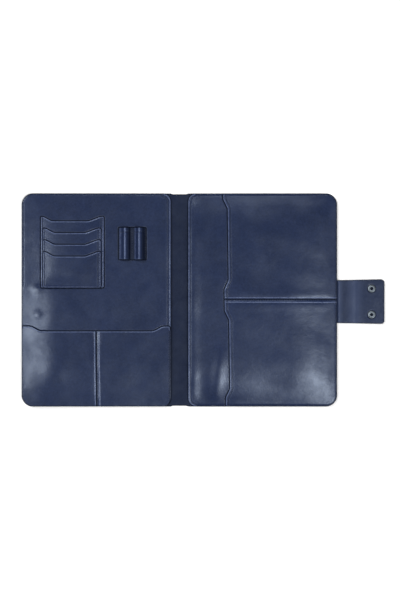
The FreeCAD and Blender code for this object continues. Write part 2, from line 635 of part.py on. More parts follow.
def seams():
    edge_y = f"({HALF} - thread_inset)"
    edge_x = "(cover_reach - thread_inset)"
    bend = "outer_corner - thread_inset"
    near = "(mouth_reach + mouth_corner)"
    single, double = flange_top(1), flange_top(2)

    leaf_high, leaf_low = twin_edge(HALF), twin_edge(f"-{HALF}")
    thread("thread_back_edge", [
        ([(near, edge_y), (f"{leaf_high} - seam_stop", edge_y)], [], single),
        ([(near, f"-{edge_y}"), (f"{leaf_low} - seam_stop", f"-{edge_y}")], [], single),
        ([(f"{leaf_high} + seam_stop", edge_y), (edge_x, edge_y), (edge_x, f"-{edge_y}"),
          (f"{leaf_low} + seam_stop", f"-{edge_y}")], [bend, bend], double)])
    inner_end = "(cover_reach - seam_flange - seam_slope - 1)"
    thread("thread_twin_divider", [
        ([("twin_top + twin_lean + seam_stop", "0"), (inner_end, "0")], [], field_top("back", 2))])

    leaf_y = "-(lower_top + seam_stop)"
    thread("thread_front_edge", [
        ([(f"-{near}", edge_y), (f"-{edge_x}", edge_y), (f"-{edge_x}", "-(lower_top - seam_stop)")],
         [bend], single),
        ([(f"-{edge_x}", leaf_y), (f"-{edge_x}", f"-{edge_y}"), (f"-{near}", f"-{edge_y}")],
         [bend], double)], True)
    low_end = f"-({HALF} - seam_flange - seam_slope - 1)"
    top = field_top("front", 2)
    thread("thread_lower_pocket", [
        ([("-lower_divide", "-(lower_top + lower_dip + seam_stop)"), ("-lower_divide", low_end)], [], top),
        ([("-(mouth_reach + lower_inset + thread_inset)", leaf_y),
          ("-(mouth_reach + lower_inset + thread_inset)", low_end)], [], top)], True)

    foot = "(card_bottom + thread_inset)"
    lines = []
    for i in range(4):
        leaf_outer, leaf_inner = card_sides(i)
        outer, inner = f"({leaf_outer} + thread_inset)", f"({leaf_inner} - thread_inset)"
        top = f"({field_top('front', 1)} + {i + 1} * card_leather)"
        high = f"(card_top - {i} * card_pitch - seam_stop / 2)"
        low = f"(card_top - {i + 1} * card_pitch + seam_stop / 2)"
        if i < 3:
            lines += [([(x, high), (x, low)], [], top) for x in (outer, inner)]
        else:
            path = [(outer, high), (outer, foot), (inner, foot), (inner, high)]
            lines.append((path, ["card_seam_bend", "card_seam_bend"], top))
    thread("thread_card_block", lines, True)
    loop_lines = ["-(loop_outer - 1.6)", "-loop_middle", "-(loop_inner + 1.6)"]
    thread("thread_pen_loops", [
        ([(x, "loop_low + seam_stop"), (x, "loop_low + loop_length - seam_stop")], [],
         f"({field_top('front', 1)} + loop_leather)") for x in loop_lines], True)

    for way in "+-":
        name = "top" if way == "+" else "bottom"
        line = f"{way} (spine_height / 2 - thread_inset)"
        thread(f"thread_spine_{name}", [
            ([("-(crease_reach - seam_stop)", line), ("crease_reach - seam_stop", line)], [], BASE)])

    second = f"({STRAP_CREASE} + {STRAP_WRAP})"
    near_edge, far_edge = f"({STRAP_CREASE} + 1.5)", f"({second} - 1.5)"
    past = f"({second} + 1.5)"
    thread("thread_strap_side", [
        ([(near_edge, f"strap_middle {s} ({strap_half(near_edge)} - thread_inset)"),
          (far_edge, f"strap_middle {s} ({strap_half(far_edge)} - thread_inset)")], [], STRAP_TOP)
        for s in "+-"])
    tip_x, tip_y = "(strap_reach - thread_inset)", f"({strap_half('strap_reach')} - thread_inset)"
    start_y = f"({strap_half(past)} - thread_inset)"
    thread("thread_strap_end", [
        ([(past, f"strap_middle + {start_y}"), (tip_x, f"strap_middle + {tip_y}"),
          (tip_x, f"strap_middle - {tip_y}"), (past, f"strap_middle - {start_y}")],
         ["strap_corner - thread_inset", "strap_corner - thread_inset"], STRAP_TOP)])


# ---------------------------------------------------------------- rest pose and export
def front_tilt():
    """The angle, in degrees, at which the front cover rests on its two studs."""
    arm = value(f"{STUD_REACH} - crease_reach - (stud_head - stud_chamfer)")
    drop = value("crease_level + stud_flange + stud_height")
    radius = math.hypot(arm, drop)
    return math.degrees(math.atan2(drop, arm) - math.asin(value("crease_level") / radius))


def tilt_front_cover():
    pivot = FreeCAD.Vector(-value("crease_reach"), 0, value("crease_level"))
    turn = FreeCAD.Rotation(FreeCAD.Vector(0, 1, 0), front_tilt())
    tilt = FreeCAD.Placement(FreeCAD.Vector(), turn, pivot)
    for label in front_parts:
        parts[label].Placement = tilt.multiply(parts[label].Placement)


def check_and_export():
    """Stops on any failed object or bad shape, then writes one STEP file per sub-part."""
    doc.recompute()
    failed = [(o.Name, o.Label, o.getStatusString()) for o in doc.Objects
              if {"Invalid", "Error"} & set(o.State)]
    if failed:
        raise RuntimeError(f"failed objects: {failed}")
    for label, obj in parts.items():
        if obj.Shape.isNull() or not obj.Shape.isValid() or not obj.Shape.Solids:
            raise RuntimeError(f"{label} has a bad shape")
    os.makedirs("parts", exist_ok=True)
    for name in os.listdir("parts"):
        os.remove(os.path.join("parts", name))
    for label, obj in parts.items():
        obj.Shape.exportStep(os.path.join("parts", f"{label}.step"))
        box = obj.Shape.BoundBox
        print(f"{label:26s} solids {len(obj.Shape.Solids)} volume {obj.Shape.Volume:9.1f} "
              f"z {box.ZMin:6.2f} to {box.ZMax:6.2f}")


fill_sheet()
lined_covers()
back_pockets()
front_pockets()
card_leaves()
pen_loops()
strap()
snaps()
seams()
tilt_front_cover()
check_and_export()
print(f"front cover rests tilted by {front_tilt():.4f} degrees")
print(f"strap creases at x = {value(STRAP_CREASE):.3f} and "
      f"{value(STRAP_CREASE + ' + ' + STRAP_WRAP):.3f}, z = {value(STRAP_TOP):.3f}")
print(f"studs at x = -{value(STUD_REACH):.3f}")
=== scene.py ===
"""Looks of the leather tablet folio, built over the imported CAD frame.

Lengths are in millimetres until make_object turns them into the frame's metres. X runs across the
open folio from the middle of its spine, towards the back cover. Y runs up it and Z off the table.
The front cover's pieces are drawn lying flat, then turned to its resting tilt.
"""

import json
import math

import bpy
import numpy as np
from mathutils.geometry import delaunay_2d_cdt
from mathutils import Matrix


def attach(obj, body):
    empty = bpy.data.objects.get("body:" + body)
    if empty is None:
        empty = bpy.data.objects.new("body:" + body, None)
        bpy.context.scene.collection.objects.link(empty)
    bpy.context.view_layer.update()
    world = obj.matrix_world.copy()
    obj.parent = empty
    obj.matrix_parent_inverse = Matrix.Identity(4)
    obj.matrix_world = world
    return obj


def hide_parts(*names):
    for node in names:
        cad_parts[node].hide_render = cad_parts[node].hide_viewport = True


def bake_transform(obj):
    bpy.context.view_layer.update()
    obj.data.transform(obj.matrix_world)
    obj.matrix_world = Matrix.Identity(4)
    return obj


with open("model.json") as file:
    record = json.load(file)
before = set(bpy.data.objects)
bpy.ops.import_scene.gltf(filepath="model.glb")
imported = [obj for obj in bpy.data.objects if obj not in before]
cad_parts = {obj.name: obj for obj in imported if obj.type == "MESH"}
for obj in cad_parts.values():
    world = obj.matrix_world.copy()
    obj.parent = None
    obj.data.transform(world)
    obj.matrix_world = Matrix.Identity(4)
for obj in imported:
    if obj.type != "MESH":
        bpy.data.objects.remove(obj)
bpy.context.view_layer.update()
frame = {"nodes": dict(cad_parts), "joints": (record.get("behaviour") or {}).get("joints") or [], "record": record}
MM = 0.001


# -------------------------------- reading the frame
def joint(name):
    return next(j for j in frame["joints"] if j["name"] == name)


FRONT_AXIS = np.array(joint("front_crease")["pos_m"]) / MM
TILT = math.radians(90 - joint("front_crease")["range_deg"][1])
CREASE = -FRONT_AXIS[0]
STRAP_ROOT = joint("strap_root_crease")["pos_m"][0] / MM
STRAP_BEND = joint("strap_tip_crease")["pos_m"][0] / MM
FRONT_NODES = frame["record"]["behaviour"]["bodies"]["front_cover"]


def turn(points, angle):
    """Points (x, y, z) turned about the front crease by an angle, or an array of angles."""
    x, z = points[:, 0] - FRONT_AXIS[0], points[:, 2] - FRONT_AXIS[2]
    c, s = np.cos(angle), np.sin(angle)
    turned_x = FRONT_AXIS[0] + x * c + z * s
    turned_z = FRONT_AXIS[2] - x * s + z * c
    return np.stack([turned_x, points[:, 1], turned_z], axis=1)


def span(node):
    """Low and high corner of a node, with the front cover's nodes laid flat."""
    points = np.array([v.co for v in frame["nodes"][node].data.vertices], float) / MM
    if node in FRONT_NODES:
        points = turn(points, -TILT)
    return points.min(0), points.max(0)


def round_pair(node):
    """Radius and middles of the two round solids of a node, one above the other."""
    low, high = span(node)
    radius = (high[0] - low[0]) / 2
    return radius, [np.array([low[0] + radius, y]) for y in (low[1] + radius, high[1] - radius)]


OUTER_LOW, OUTER_HIGH = span("outer_leather_back")
LINING_LOW, LINING_HIGH = span("lining_back")
PANEL_LOW, PANEL_HIGH = span("sleeve_panel")
TWIN_LOW, TWIN_HIGH = span("twin_pocket_leaf")
DOC_LOW, DOC_HIGH = span("document_panel")
LOWER_HIGH = span("lower_pocket_leaf")[1]
LOOP_LOW, LOOP_HIGH = span("pen_loops")
STRAP_LOW, STRAP_HIGH = span("strap_outer_end")
TONGUE_LOW, TONGUE_HIGH = span("strap_tongue")
CARDS = [span(f"card_leaf_{number}") for number in (1, 2, 3, 4)]
STUD_SPOTS = round_pair("snap_studs")[1]
SOCKET_RADIUS, SOCKET_SPOTS = round_pair("snap_sockets")

# From the spine's middle to a cover's outer edge, half the covers' height, and the lining's top.
REACH, HALF = OUTER_HIGH[0], OUTER_HIGH[1]
BASE = LINING_HIGH[2]
SPINE_HALF = span("outer_leather_spine")[1][1]
SKIN = PANEL_HIGH[2] - PANEL_LOW[2]
MOUTH = span("sleeve_panel_border")[0][0]
SLOPE_END = REACH - PANEL_HIGH[0]
TWIN_EDGE = span("twin_pocket_leaf_border")[0][0]
LOWER_EDGE = span("lower_pocket_leaf_border")[1][1]
THREAD_WIDTH = 0.8
LOWER_DIVIDE = span("thread_lower_pocket")[0][0] + THREAD_WIDTH / 2
STRAP_TOP = span("strap_lining_end")[1][2]
STRAP_MIDDLE = (STRAP_LOW[1] + STRAP_HIGH[1]) / 2
TIP_HALF = (STRAP_HIGH[1] - STRAP_LOW[1]) / 2
ROOT_HALF = (TONGUE_HIGH[1] - TONGUE_LOW[1]) / 2

# Corner radii, and how far each kind of leaf stays inside the cover's edge.
CORNER, MOUTH_CORNER, STRAP_CORNER = 17.0, 12.0, 5.0
PANEL_INSET, LEAF_INSET = 0.25, 0.3

# The twin pocket's mouth leans. Each step has its middle, and whether a recess is above and below.
TWIN_LEAN, TWIN_NOTCH, TWIN_RUN, TWIN_RADIUS = 4.0, 6.6, 7.0, 9.0
TWIN_STEPS = ((146.0, 0, 1), (23.5, 1, 0), (-23.5, 0, 1), (-142.0, 1, 0))

# The other mouths drop, each in a step whose start and end are measured from the mouth's ends.
LOWER_DIP, LOWER_RADIUS = LOWER_EDGE - 7.4, 14.0
LOWER_LEFT_STEP, LOWER_RIGHT_STEP = (14.0, 28.0), (12.0, 26.0)
CARD_DROP, CARD_RADIUS = 6.9, 12.0
CARD_LEFT_STEP, CARD_RIGHT_STEP = (4.0, 17.0), (6.0, 24.0)

# How far the leather takes to bend at a crease of the spine, and to swell from a seam.
BEND = 6.0
SWELL = 70.0

# Steps between points, and the offsets of rows of points beside edges and lines.
EDGE_STEP, ARC_STEP, ROW_STEP = 2.5, 1.1, 2.0
RINGS = (0.1, 0.3, 0.6, 1.1, 1.8, 2.8, 4.0, 5.4, 7.0, 9.0, 11.5)
CARD_RINGS = (0.1, 0.3, 0.6, 1.1, 1.8, 2.6, 3.4, 4.2, 5.4, 7.0)
STRAP_RINGS = RINGS[:7]
FINE_BAND = (-2.8, -1.9, -1.1, -0.4, 0.4, 1.1, 1.9, 2.8)
BEND_ROWS = (-6, -4.5, -3, -1.5, 0, 1.5, 3, 4.5, 6)
CREASE_ROWS = (-1.2, -0.5, 0, 0.5, 1.2)
DIVIDER_ROWS = (-9, -7, -5, -4.2, -3.3, -2.5, -1.6, -0.8, 0, 0.8, 1.6, 2.5, 3.3, 4.2, 5, 7, 9)
STRAP_ROWS = (-4, -3, -2.2, -1.5, -0.8, 0, 0.8, 1.5, 2.2, 3, 4)

# The distances that the shader is told at each point. FAR stands for nothing near.
MARKS = ("edge", "crease", "divide", "mouth", "over")
FAR = 99.0


# -------------------------------- outlines and distances
def unit(v):
    return v / np.linalg.norm(v)


def rounded(corners, step=EDGE_STEP, keep_order=False):
    """Points round a polygon of (x, y, radius) corners, anticlockwise unless keep_order is set."""
    points = []
    for i, (x, y, radius) in enumerate(corners):
        here = np.array([x, y])
        if radius < 0.01:
            points.append(here)
            continue
        back = unit(np.array(corners[i - 1][:2]) - here)
        ahead = unit(np.array(corners[(i + 1) % len(corners)][:2]) - here)
        half = math.acos(float(np.clip(back @ ahead, -1, 1))) / 2
        centre = here + unit(back + ahead) * radius / math.sin(half)
        first = here + back * radius / math.tan(half) - centre
        last = here + ahead * radius / math.tan(half) - centre
        start = math.atan2(first[1], first[0])
        sweep = math.atan2(last[1], last[0]) - start
        sweep = (sweep + math.pi) % (2 * math.pi) - math.pi
        for share in np.linspace(0, 1, max(3, math.ceil(abs(sweep) * radius / ARC_STEP))):
            angle = start + share * sweep
            points.append(centre + radius * np.array([math.cos(angle), math.sin(angle)]))
    filled = []
    for here, after in zip(points, points[1:] + points[:1]):
        pieces = max(1, math.ceil(np.linalg.norm(after - here) / step))
        filled += [here + (after - here) * k / pieces for k in range(pieces)]
    filled = np.array(filled)
    x, y = filled[:, 0], filled[:, 1]
    area = np.sum(x * np.roll(y, -1) - y * np.roll(x, -1))
    return filled if area > 0 or keep_order else filled[::-1]


def arc_path(points, radius):
    """An open path through points with its inner corners rounded."""
    ends = [(*points[0], 0)]
    corners = ends + [(x, y, radius) for x, y in points[1:-1]] + [(*points[-1], 0)]
    closed = rounded(corners, 1.5, keep_order=True)
    last = int(np.argmin(np.linalg.norm(closed - points[-1], axis=1)))
    return closed[:last + 1]


def distance(points, starts, ends=None):
    """Distance of each point to the nearest segment. Without ends, starts is a closed outline."""
    best = np.full(len(points), 1e9)
    for a, b in zip(starts, np.roll(starts, -1, axis=0) if ends is None else ends):
        along = b - a
        share = np.clip(((points - a) @ along) / max(along @ along, 1e-12), 0, 1)
        best = np.minimum(best, np.linalg.norm(points - a - share[:, None] * along, axis=1))
    return best


def inside(points, outline):
    """True for each point inside the closed outline."""
    x, y = points[:, 0], points[:, 1]
    odd = np.zeros(len(points), bool)
    for (ax, ay), (bx, by) in zip(outline, np.roll(outline, -1, axis=0)):
        if ay != by:
            crosses = (ay > y) != (by > y)
            odd ^= crosses & (x < ax + (y - ay) * (bx - ax) / (by - ay))
    return odd


def ease(t):
    """A smooth climb from 0 to 1 as t goes from 0 to 1, level at both ends."""
    t = np.clip(t, 0, 1)
    return t * t * t * (t * (6 * t - 15) + 10)


def dent(distance_from_line, width):
    """A smooth hump of height 1 on the line, faded out at about twice its width."""
    return np.exp(-(distance_from_line / width) ** 2)


def ripple(points, seed, size, height):
    """A gentle unevenness: a few long waves in seeded directions."""
    waves = 7
    rng = np.random.default_rng(seed)
    total = np.zeros(len(points))
    for _ in range(waves):
        angle, phase = rng.uniform(0, 2 * math.pi, 2)
        length = size * rng.uniform(0.6, 1.7)
        way = np.array([math.cos(angle), math.sin(angle)])
        total += np.sin(points @ way * 2 * math.pi / length + phase)
    return height * total / waves ** 0.5


# -------------------------------- meshes
def add_object(name, data):
    """A new object in the scene."""
    obj = bpy.data.objects.new(name, data)
    bpy.context.scene.collection.objects.link(obj)
    return obj


def add_attribute(mesh, name, values, kind="FLOAT"):
    data = mesh.attributes.new(name, kind, "POINT").data
    field = "vector" if kind == "FLOAT_VECTOR" else "value"
    data.foreach_set(field, np.asarray(values, np.float32).ravel())


def make_object(name, points, faces, marks, material, turned=0.0):
    """A mesh object with smooth faces, its resting places and its marks stored for the shader."""
    placed = turn(points, turned) if np.any(turned) else points
    mesh = bpy.data.meshes.new(name)
    mesh.from_pydata((placed * MM).tolist(), [], faces)
    add_attribute(mesh, "rest", points, "FLOAT_VECTOR")
    for key, values in marks.items():
        add_attribute(mesh, key, values)
    mesh.shade_smooth()
    mesh.materials.append(material)
    mesh.update()
    return add_object(name, mesh)


def sideways(outline):
    """Unit vectors pointing into an anticlockwise outline, at each of its points."""
    tangent = np.roll(outline, -1, axis=0) - np.roll(outline, 1, axis=0)
    normal = np.stack([-tangent[:, 1], tangent[:, 0]], axis=1)
    return normal / np.linalg.norm(normal, axis=1)[:, None]


def well_inside(points, outline, room):
    """The points that lie inside an outline, farther than room from it."""
    points = points[inside(points, outline)]
    return points[distance(points, outline) > room]


def rows(outline, rings, guides, fine):
    """Rows of points beside closed fine lines, inside the edge, and beside straight guides."""
    layers = [well_inside(line - sideways(line) * offset, outline, 1.5)
              for line in fine for offset in FINE_BAND]
    layers += [well_inside(outline + sideways(outline) * offset, outline, offset * 0.96)
               for offset in rings]
    for start, end, offsets in guides:
        start, end = np.array(start, float), np.array(end, float)
        way = unit(end - start)
        side = np.array([-way[1], way[0]])
        along = np.arange(0, np.linalg.norm(end - start), ROW_STEP)[:, None]
        layers += [well_inside(start + way * along + side * offset, outline, 0.5)
                   for offset in offsets]
    return layers


def between(outline, spacing, rings, guides, fine):
    """A triangular grid of points wherever no closer rows lie."""
    low, high = outline.min(0), outline.max(0)
    grid = np.stack(np.meshgrid(np.arange(low[0], high[0], spacing),
                                np.arange(low[1], high[1], spacing)), -1).reshape(-1, 2)
    grid[:, 0] += (np.round((grid[:, 1] - low[1]) / spacing) % 2) * spacing / 2
    room = spacing * 0.4
    grid = well_inside(grid, outline, rings[-1] + room)
    for start, end, offsets in guides:
        start, end = np.array([start], float), np.array([end], float)
        grid = grid[distance(grid, start, end) > max(offsets) + room]
    for line in fine:
        grid = grid[distance(grid, line) > FINE_BAND[-1] + 1]
    return grid


def leather(name, outline, top, under, material, spacing=4.0, guides=(), cut=None,
            crease=None, divide=None, mouth=None, over=None, tilt=None, rings=RINGS, fine=()):
    """A closed leather piece over an outline, from its top and underside height functions.

    guides are (start, end, offsets) lines that get extra points, and so do fine, the outlines of
    things lying on top. cut is the x of an end that runs on into the next piece, so it isn't
    rounded. crease and divide give signed distances to lines pressed into the leather, mouth the
    distance to an open edge, and over the distance to the edge of whatever lies on top. The shader
    paints highlights along mouths, dividers and creases, and paints shade in creases and dividers
    and beside the edge of what lies on top. tilt gives each point's share of the front cover's
    resting tilt.
    """
    after = np.roll(outline, -1, axis=0)
    real = np.ones(len(outline), bool)
    if cut is not None:
        real = ~((np.abs(outline[:, 0] - cut) < 1e-6) & (np.abs(after[:, 0] - cut) < 1e-6))
    flat = np.concatenate([outline] + rows(outline, rings, guides, fine)
                          + [between(outline, spacing, rings, guides, fine)])
    edges = [(i, (i + 1) % len(outline)) for i in range(len(outline))]
    out, _, faces, source, _, _ = delaunay_2d_cdt(flat.tolist(), edges, [], 1, 1e-5)
    at = {s: k for k, group in enumerate(source) for s in group}
    rim = [at[i] for i in range(len(outline))]
    flat = np.array(out, float)
    edge = distance(flat, outline[real], after[real])
    high_z, low_z = top(flat), under(flat)
    bevel = 0.42 * (high_z - low_z)
    drop = bevel * (1 - np.sqrt(np.clip(1 - (1 - np.clip(edge / bevel, 0, 1)) ** 2, 0, 1)))
    count = len(flat)
    points = np.concatenate([np.column_stack([flat, high_z - drop]),
                             np.column_stack([flat, low_z + drop])])
    shell = [tuple(f) for f in faces] + [tuple(k + count for k in reversed(f)) for f in faces]
    shell += [(b, a, a + count, b + count) for a, b in zip(rim, rim[1:] + rim[:1])]
    both = np.concatenate([flat, flat])
    marks = {"edge": np.concatenate([edge, edge])}
    for mark, measure in zip(MARKS[1:], (crease, divide, mouth, over)):
        marks[mark] = measure(both) if measure else np.full(2 * count, FAR)
    angle = TILT * tilt(both) if tilt else 0.0
    return make_object(name, points, shell, marks, material, angle)


# -------------------------------- materials
class Shader:
    """A small helper for building a material's nodes."""

    def __init__(self, name):
        self.material = bpy.data.materials.new(name)
        self.material.use_nodes = True
        self.tree = self.material.node_tree
        self.main = self.tree.nodes["Principled BSDF"]

    def add(self, kind, **inputs):
        node = self.tree.nodes.new("ShaderNode" + kind)
        for key, value in inputs.items():
            self.put(node, key, value)
        return node

    def put(self, node, key, value):
        """Sets one setting (set_NAME) of a node, or its input called NAME or iNUMBER."""
        if key.startswith("set_"):
            setattr(node, key[4:], value)
            return
        target = node.inputs[int(key[1:]) if key[1:].isdigit() else key.replace("_", " ")]
        if isinstance(value, bpy.types.NodeSocket):
            self.tree.links.new(value, target)
        else:
            target.default_value = value

    def mark(self, name):
        """One of the attributes that make_object stores."""
        node = self.add("Attribute", set_attribute_name=name)
        return node.outputs["Vector"] if name == "rest" else node.outputs["Fac"]

    def noise(self, where, scale, detail=3.0, rough=0.55, distortion=0.0):
        return self.add("TexNoise", Vector=where, Scale=scale, Detail=detail, Roughness=rough,
                        Distortion=distortion).outputs["Fac"]

    def math(self, operation, a, b=0.0):
        return self.add("Math", set_operation=operation, i0=a, i1=b).outputs[0]

    def times(self, a, b):
        return self.math("MULTIPLY", a, b)

    def most(self, a, b):
        return self.math("MAXIMUM", a, b)

    def fit(self, value, low, high, to_low=0.0, to_high=1.0, smooth=True):
        """A value's range from low to high, stretched to run from to_low to to_high."""
        kind = "SMOOTHSTEP" if smooth else "LINEAR"
        return self.add("MapRange", set_interpolation_type=kind, i0=value, i1=low, i2=high,
                        i3=to_low, i4=to_high).outputs[0]

    def blend(self, share, a, b):
        """Colour a where the share is 0, and b where it is 1."""
        return self.add("Mix", set_data_type="RGBA", i0=share, i6=a, i7=b).outputs[2]

    def line(self, mark, place, width=0.0, fade=0.9):
        """1 within a width of the line where a mark has the value place, fading to 0 beside it."""
        away = self.math("ABSOLUTE", self.math("SUBTRACT", mark, place))
        return self.fit(away, width, fade, 1.0, 0.0)

    def finish(self, **inputs):
        for key, value in inputs.items():
            self.put(self.main, key, value)
        return self.material


def colour(r, g, b):
    return (r, g, b, 1.0)


def scaled(base, share):
    return tuple(share * c for c in base)


def patchy_tint(s, place, base, mottle):
    """Clouds, patches and specks of a lighter and a darker tone of one leather."""
    clouds = s.noise(place, 0.02, 4.0, 0.55, 0.4)
    patches = s.noise(place, 0.3, 4.0, 0.6)
    specks = s.noise(place, 0.5, 3.0, 0.6)
    tone = s.math("ADD", s.times(clouds, 0.3), s.times(patches, 0.4))
    tone = s.math("ADD", tone, s.times(specks, 0.3))
    spread = 0.22 - 0.12 * mottle
    deep = colour(*scaled(base, 0.72))
    pale = colour(*[1.3 * c + 0.002 for c in base])
    return s.blend(s.fit(tone, 0.5 - spread, 0.5 + spread, smooth=False), deep, pale), specks


def grain(s, place, specks, fold, dark):
    """Pores, specks and long wrinkles, raised on folds and sunk in grooves."""
    pores = s.add("TexVoronoi", Vector=place, Scale=0.85, Randomness=1.0).outputs["Distance"]
    wrinkles = s.noise(place, 0.13, 4.0, 0.55, 0.6)
    height = s.math("ADD", s.times(pores, 0.06), s.times(wrinkles, 0.32))
    height = s.math("ADD", height, s.times(specks, 0.06))
    height = s.math("ADD", height, s.times(fold, 0.6))
    height = s.math("SUBTRACT", height, s.times(dark, 0.8))
    return s.add("Bump", Strength=0.32, Distance=0.0009, Height=height).outputs["Normal"]


def leather_material(name, base, mottle=0.6, rough=0.26, edge_band=1.1, gloss=0.36, fold_wear_and_highlight=1.0,
                     flex_and_highlight_bands=()):
    """Waxed pull-up leather: uneven navy, dark on its cut edges, with painted highlights along its
    folds and ridges and painted shade in its grooves and beside whatever lies on it.

    edge_band is how far the dark of a cut edge reaches in, and fold_wear_and_highlight how much
    the folds are paled, partly as leather rubbed where it is pulled and partly as a painted highlight.
    flex_and_highlight_bands are (x, reach, share) places where bending has lightened the leather,
    painted paler also to stand in for the highlights those bends catch.
    """
    s = Shader(name)
    place = s.mark("rest")
    edge, crease, divide, mouth, over = (s.mark(mark) for mark in MARKS)
    # Pale tone for folds and flexed bands: partly rubbed pull-up leather, partly a painted highlight.
    rubbed_and_highlight = colour(1.5 * base[0] + 0.05, 1.5 * base[1] + 0.062, 1.5 * base[2] + 0.1)
    black = colour(*scaled(base, 0.1))
    tint, specks = patchy_tint(s, place, base, mottle)
    # Painted highlight on the strap's flexed bands, laid over their paler pull-up wear.
    for centre, reach, share in flex_and_highlight_bands:
        along = s.add("SeparateXYZ", Vector=place).outputs[0]
        tint = s.blend(s.times(s.line(along, centre, 0.0, reach), share), tint, rubbed_and_highlight)
    # Painted highlights: lines along mouths, beside dividers and beside creases are paled in patches, as the light
    # their raised edges catch, with some rubbing.
    ridge = s.line(mouth, 1.3, 0.5, 1.3)
    shoulder = s.line(s.math("ABSOLUTE", divide), 3.3, 0.4, 1.1)
    groove_lip = s.line(crease, 1.6)
    fold = s.most(s.most(ridge, shoulder), s.times(groove_lip, 0.15))
    wear_and_highlight_patches = s.fit(s.noise(place, 0.25, 3.0, 0.6), 0.3, 0.62, 0.45, 0.9)
    tint = s.blend(s.times(fold, s.times(wear_and_highlight_patches, fold_wear_and_highlight)), tint, rubbed_and_highlight)
    # Painted shade: dark lines in creases and divider seams, and beside the edges of whatever lies on top (over),
    # blended towards black.
    groove = s.line(crease, 0.0)
    trough = s.line(divide, 0.9, 0.6, 1.7)
    contact_shade = s.fit(over, 0.5, 1.9, 0.78, 0.0)
    dark = s.most(s.times(groove, 0.6), s.times(trough, 0.82))
    dark = s.most(dark, contact_shade)
    tint = s.blend(s.times(dark, 0.92), tint, black)
    rim = s.fit(edge, edge_band * 0.5, edge_band, 1.0, 0.0)
    tint = s.blend(s.times(rim, 0.92), tint, black)
    dull = s.most(dark, rim)
    shine = s.math("ADD", s.times(dull, 0.4), rough)
    sheen = s.fit(s.noise(place, 0.05, 4.0, 0.6), 0.3, 0.7, 0.78 * gloss, 1.22 * gloss)
    reflect = s.times(sheen, s.fit(dull, 0.0, 1.0, 1.0, 0.15, False))
    return s.finish(Base_Color=tint, Roughness=shine, Normal=grain(s, place, specks, fold, dark),
                    IOR=1.47, Specular_IOR_Level=reflect,
                    Specular_Tint=colour(0.72, 0.83, 1.0))


def thread_material():
    """Waxed thread: twisted ply shown as fine slanting ridges."""
    s = Shader("waxed_thread")
    place = s.mark("rest")
    ply = s.add("TexWave", Vector=place, Scale=1.6, Distortion=0.6, Detail=1.0).outputs["Fac"]
    tint = s.blend(ply, colour(0.004, 0.008, 0.022), colour(0.014, 0.024, 0.06))
    bump = s.add("Bump", Strength=0.5, Distance=0.0002, Height=ply).outputs["Normal"]
    return s.finish(Base_Color=tint, Roughness=0.5, Normal=bump)


def metal_material(name, tint, rough):
    """Plated snap metal: fine turned scratches and slight tarnish."""
    s = Shader(name)
    where = s.add("TexCoord").outputs["Object"]
    tarnish = s.noise(where, 900.0, 4.0, 0.6)
    scratch = s.noise(where, 6000.0, 2.0, 0.7)
    shade = s.blend(s.fit(tarnish, 0.35, 0.7), colour(*scaled(tint, 0.72)), colour(*tint))
    bump = s.add("Bump", Strength=0.15, Distance=0.0001, Height=scratch).outputs["Normal"]
    shine = s.fit(scratch, 0.3, 0.7, rough - 0.06, rough + 0.1)
    return s.finish(Base_Color=shade, Metallic=1.0, Roughness=shine, Normal=bump)


NAVY = (0.0076, 0.0141, 0.0430)
INSIDE = leather_material("pocket_leather", NAVY)
OUTSIDE = leather_material("cover_leather", scaled(NAVY, 0.9), mottle=0.6, rough=0.3)
LINING = leather_material("lining_leather", scaled(NAVY, 0.58), mottle=0.3, rough=0.5,
                          edge_band=0.5, gloss=0.15, fold_wear_and_highlight=0.0)
# The strap's flexed bands are painted paler: pull-up wear plus a painted highlight.
STRAP = leather_material("strap_leather", scaled(NAVY, 0.85), mottle=0.45, rough=0.27,
                         edge_band=0.9, gloss=0.3,
                         flex_and_highlight_bands=((REACH + 2.5, 8.0, 0.3), (STRAP_BEND - 1.5, 16.0, 0.3)))
THREAD = thread_material()
GUNMETAL = metal_material("gunmetal", (0.2, 0.235, 0.27), 0.44)
# Near-black metal painted into the snap holes as their shade.
SHADE_IN_WELLS = metal_material("painted_shade_well", (0.02, 0.023, 0.028), 0.5)
WIRE = metal_material("spring_wire", (0.12, 0.125, 0.135), 0.4)


# -------------------------------- covers, spine and lining
def level(z):
    """Height function of a flat surface."""
    return lambda p: np.full(len(p), z)


def full_tilt(p):
    """The whole of the front cover's tilt at every point."""
    return np.ones(len(p))


def spine_tilt(p):
    """Share of the front cover's tilt across the front crease, as the blend gives it."""
    t = np.clip((-CREASE + BEND - p[:, 0]) / (2 * BEND), 0, 1)
    return t * t * (3 - 2 * t)


def sheet_outline(side, inset):
    """One cover and half the spine, stepped in a little along the spine's ends."""
    top, spine_top, turn_in = HALF - inset, SPINE_HALF - inset, 4
    upper = [(side * (REACH - inset), top, CORNER - inset), (side * (CREASE + 1.5), top, turn_in),
             (side * (CREASE - 1.5), spine_top, turn_in), (0, spine_top, 0)]
    return rounded([(x, -y, radius) for x, y, radius in reversed(upper)] + upper)


def cover_sheets():
    """Outer leather and lining of each cover, each run on to the middle of the spine."""
    for name, side in (("back", 1), ("front", -1)):
        tilt = spine_tilt if side < 0 else None
        guide = [((side * CREASE, -HALF), (side * CREASE, HALF), BEND_ROWS)]
        for layer, low, high, inset, material in (
                ("outer_leather", OUTER_LOW[2], OUTER_HIGH[2], 0.0, OUTSIDE),
                ("lining", LINING_LOW[2], LINING_HIGH[2], 0.5, LINING)):
            obj = leather(f"{layer}_{name}_sheet", sheet_outline(side, inset), level(high),
                          level(low), material, 6.0, guide, cut=0.0, tilt=tilt)
            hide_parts(f"{layer}_{name}", f"{layer}_spine")
            if side > 0:
                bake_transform(obj)
            else:
                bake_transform(obj)


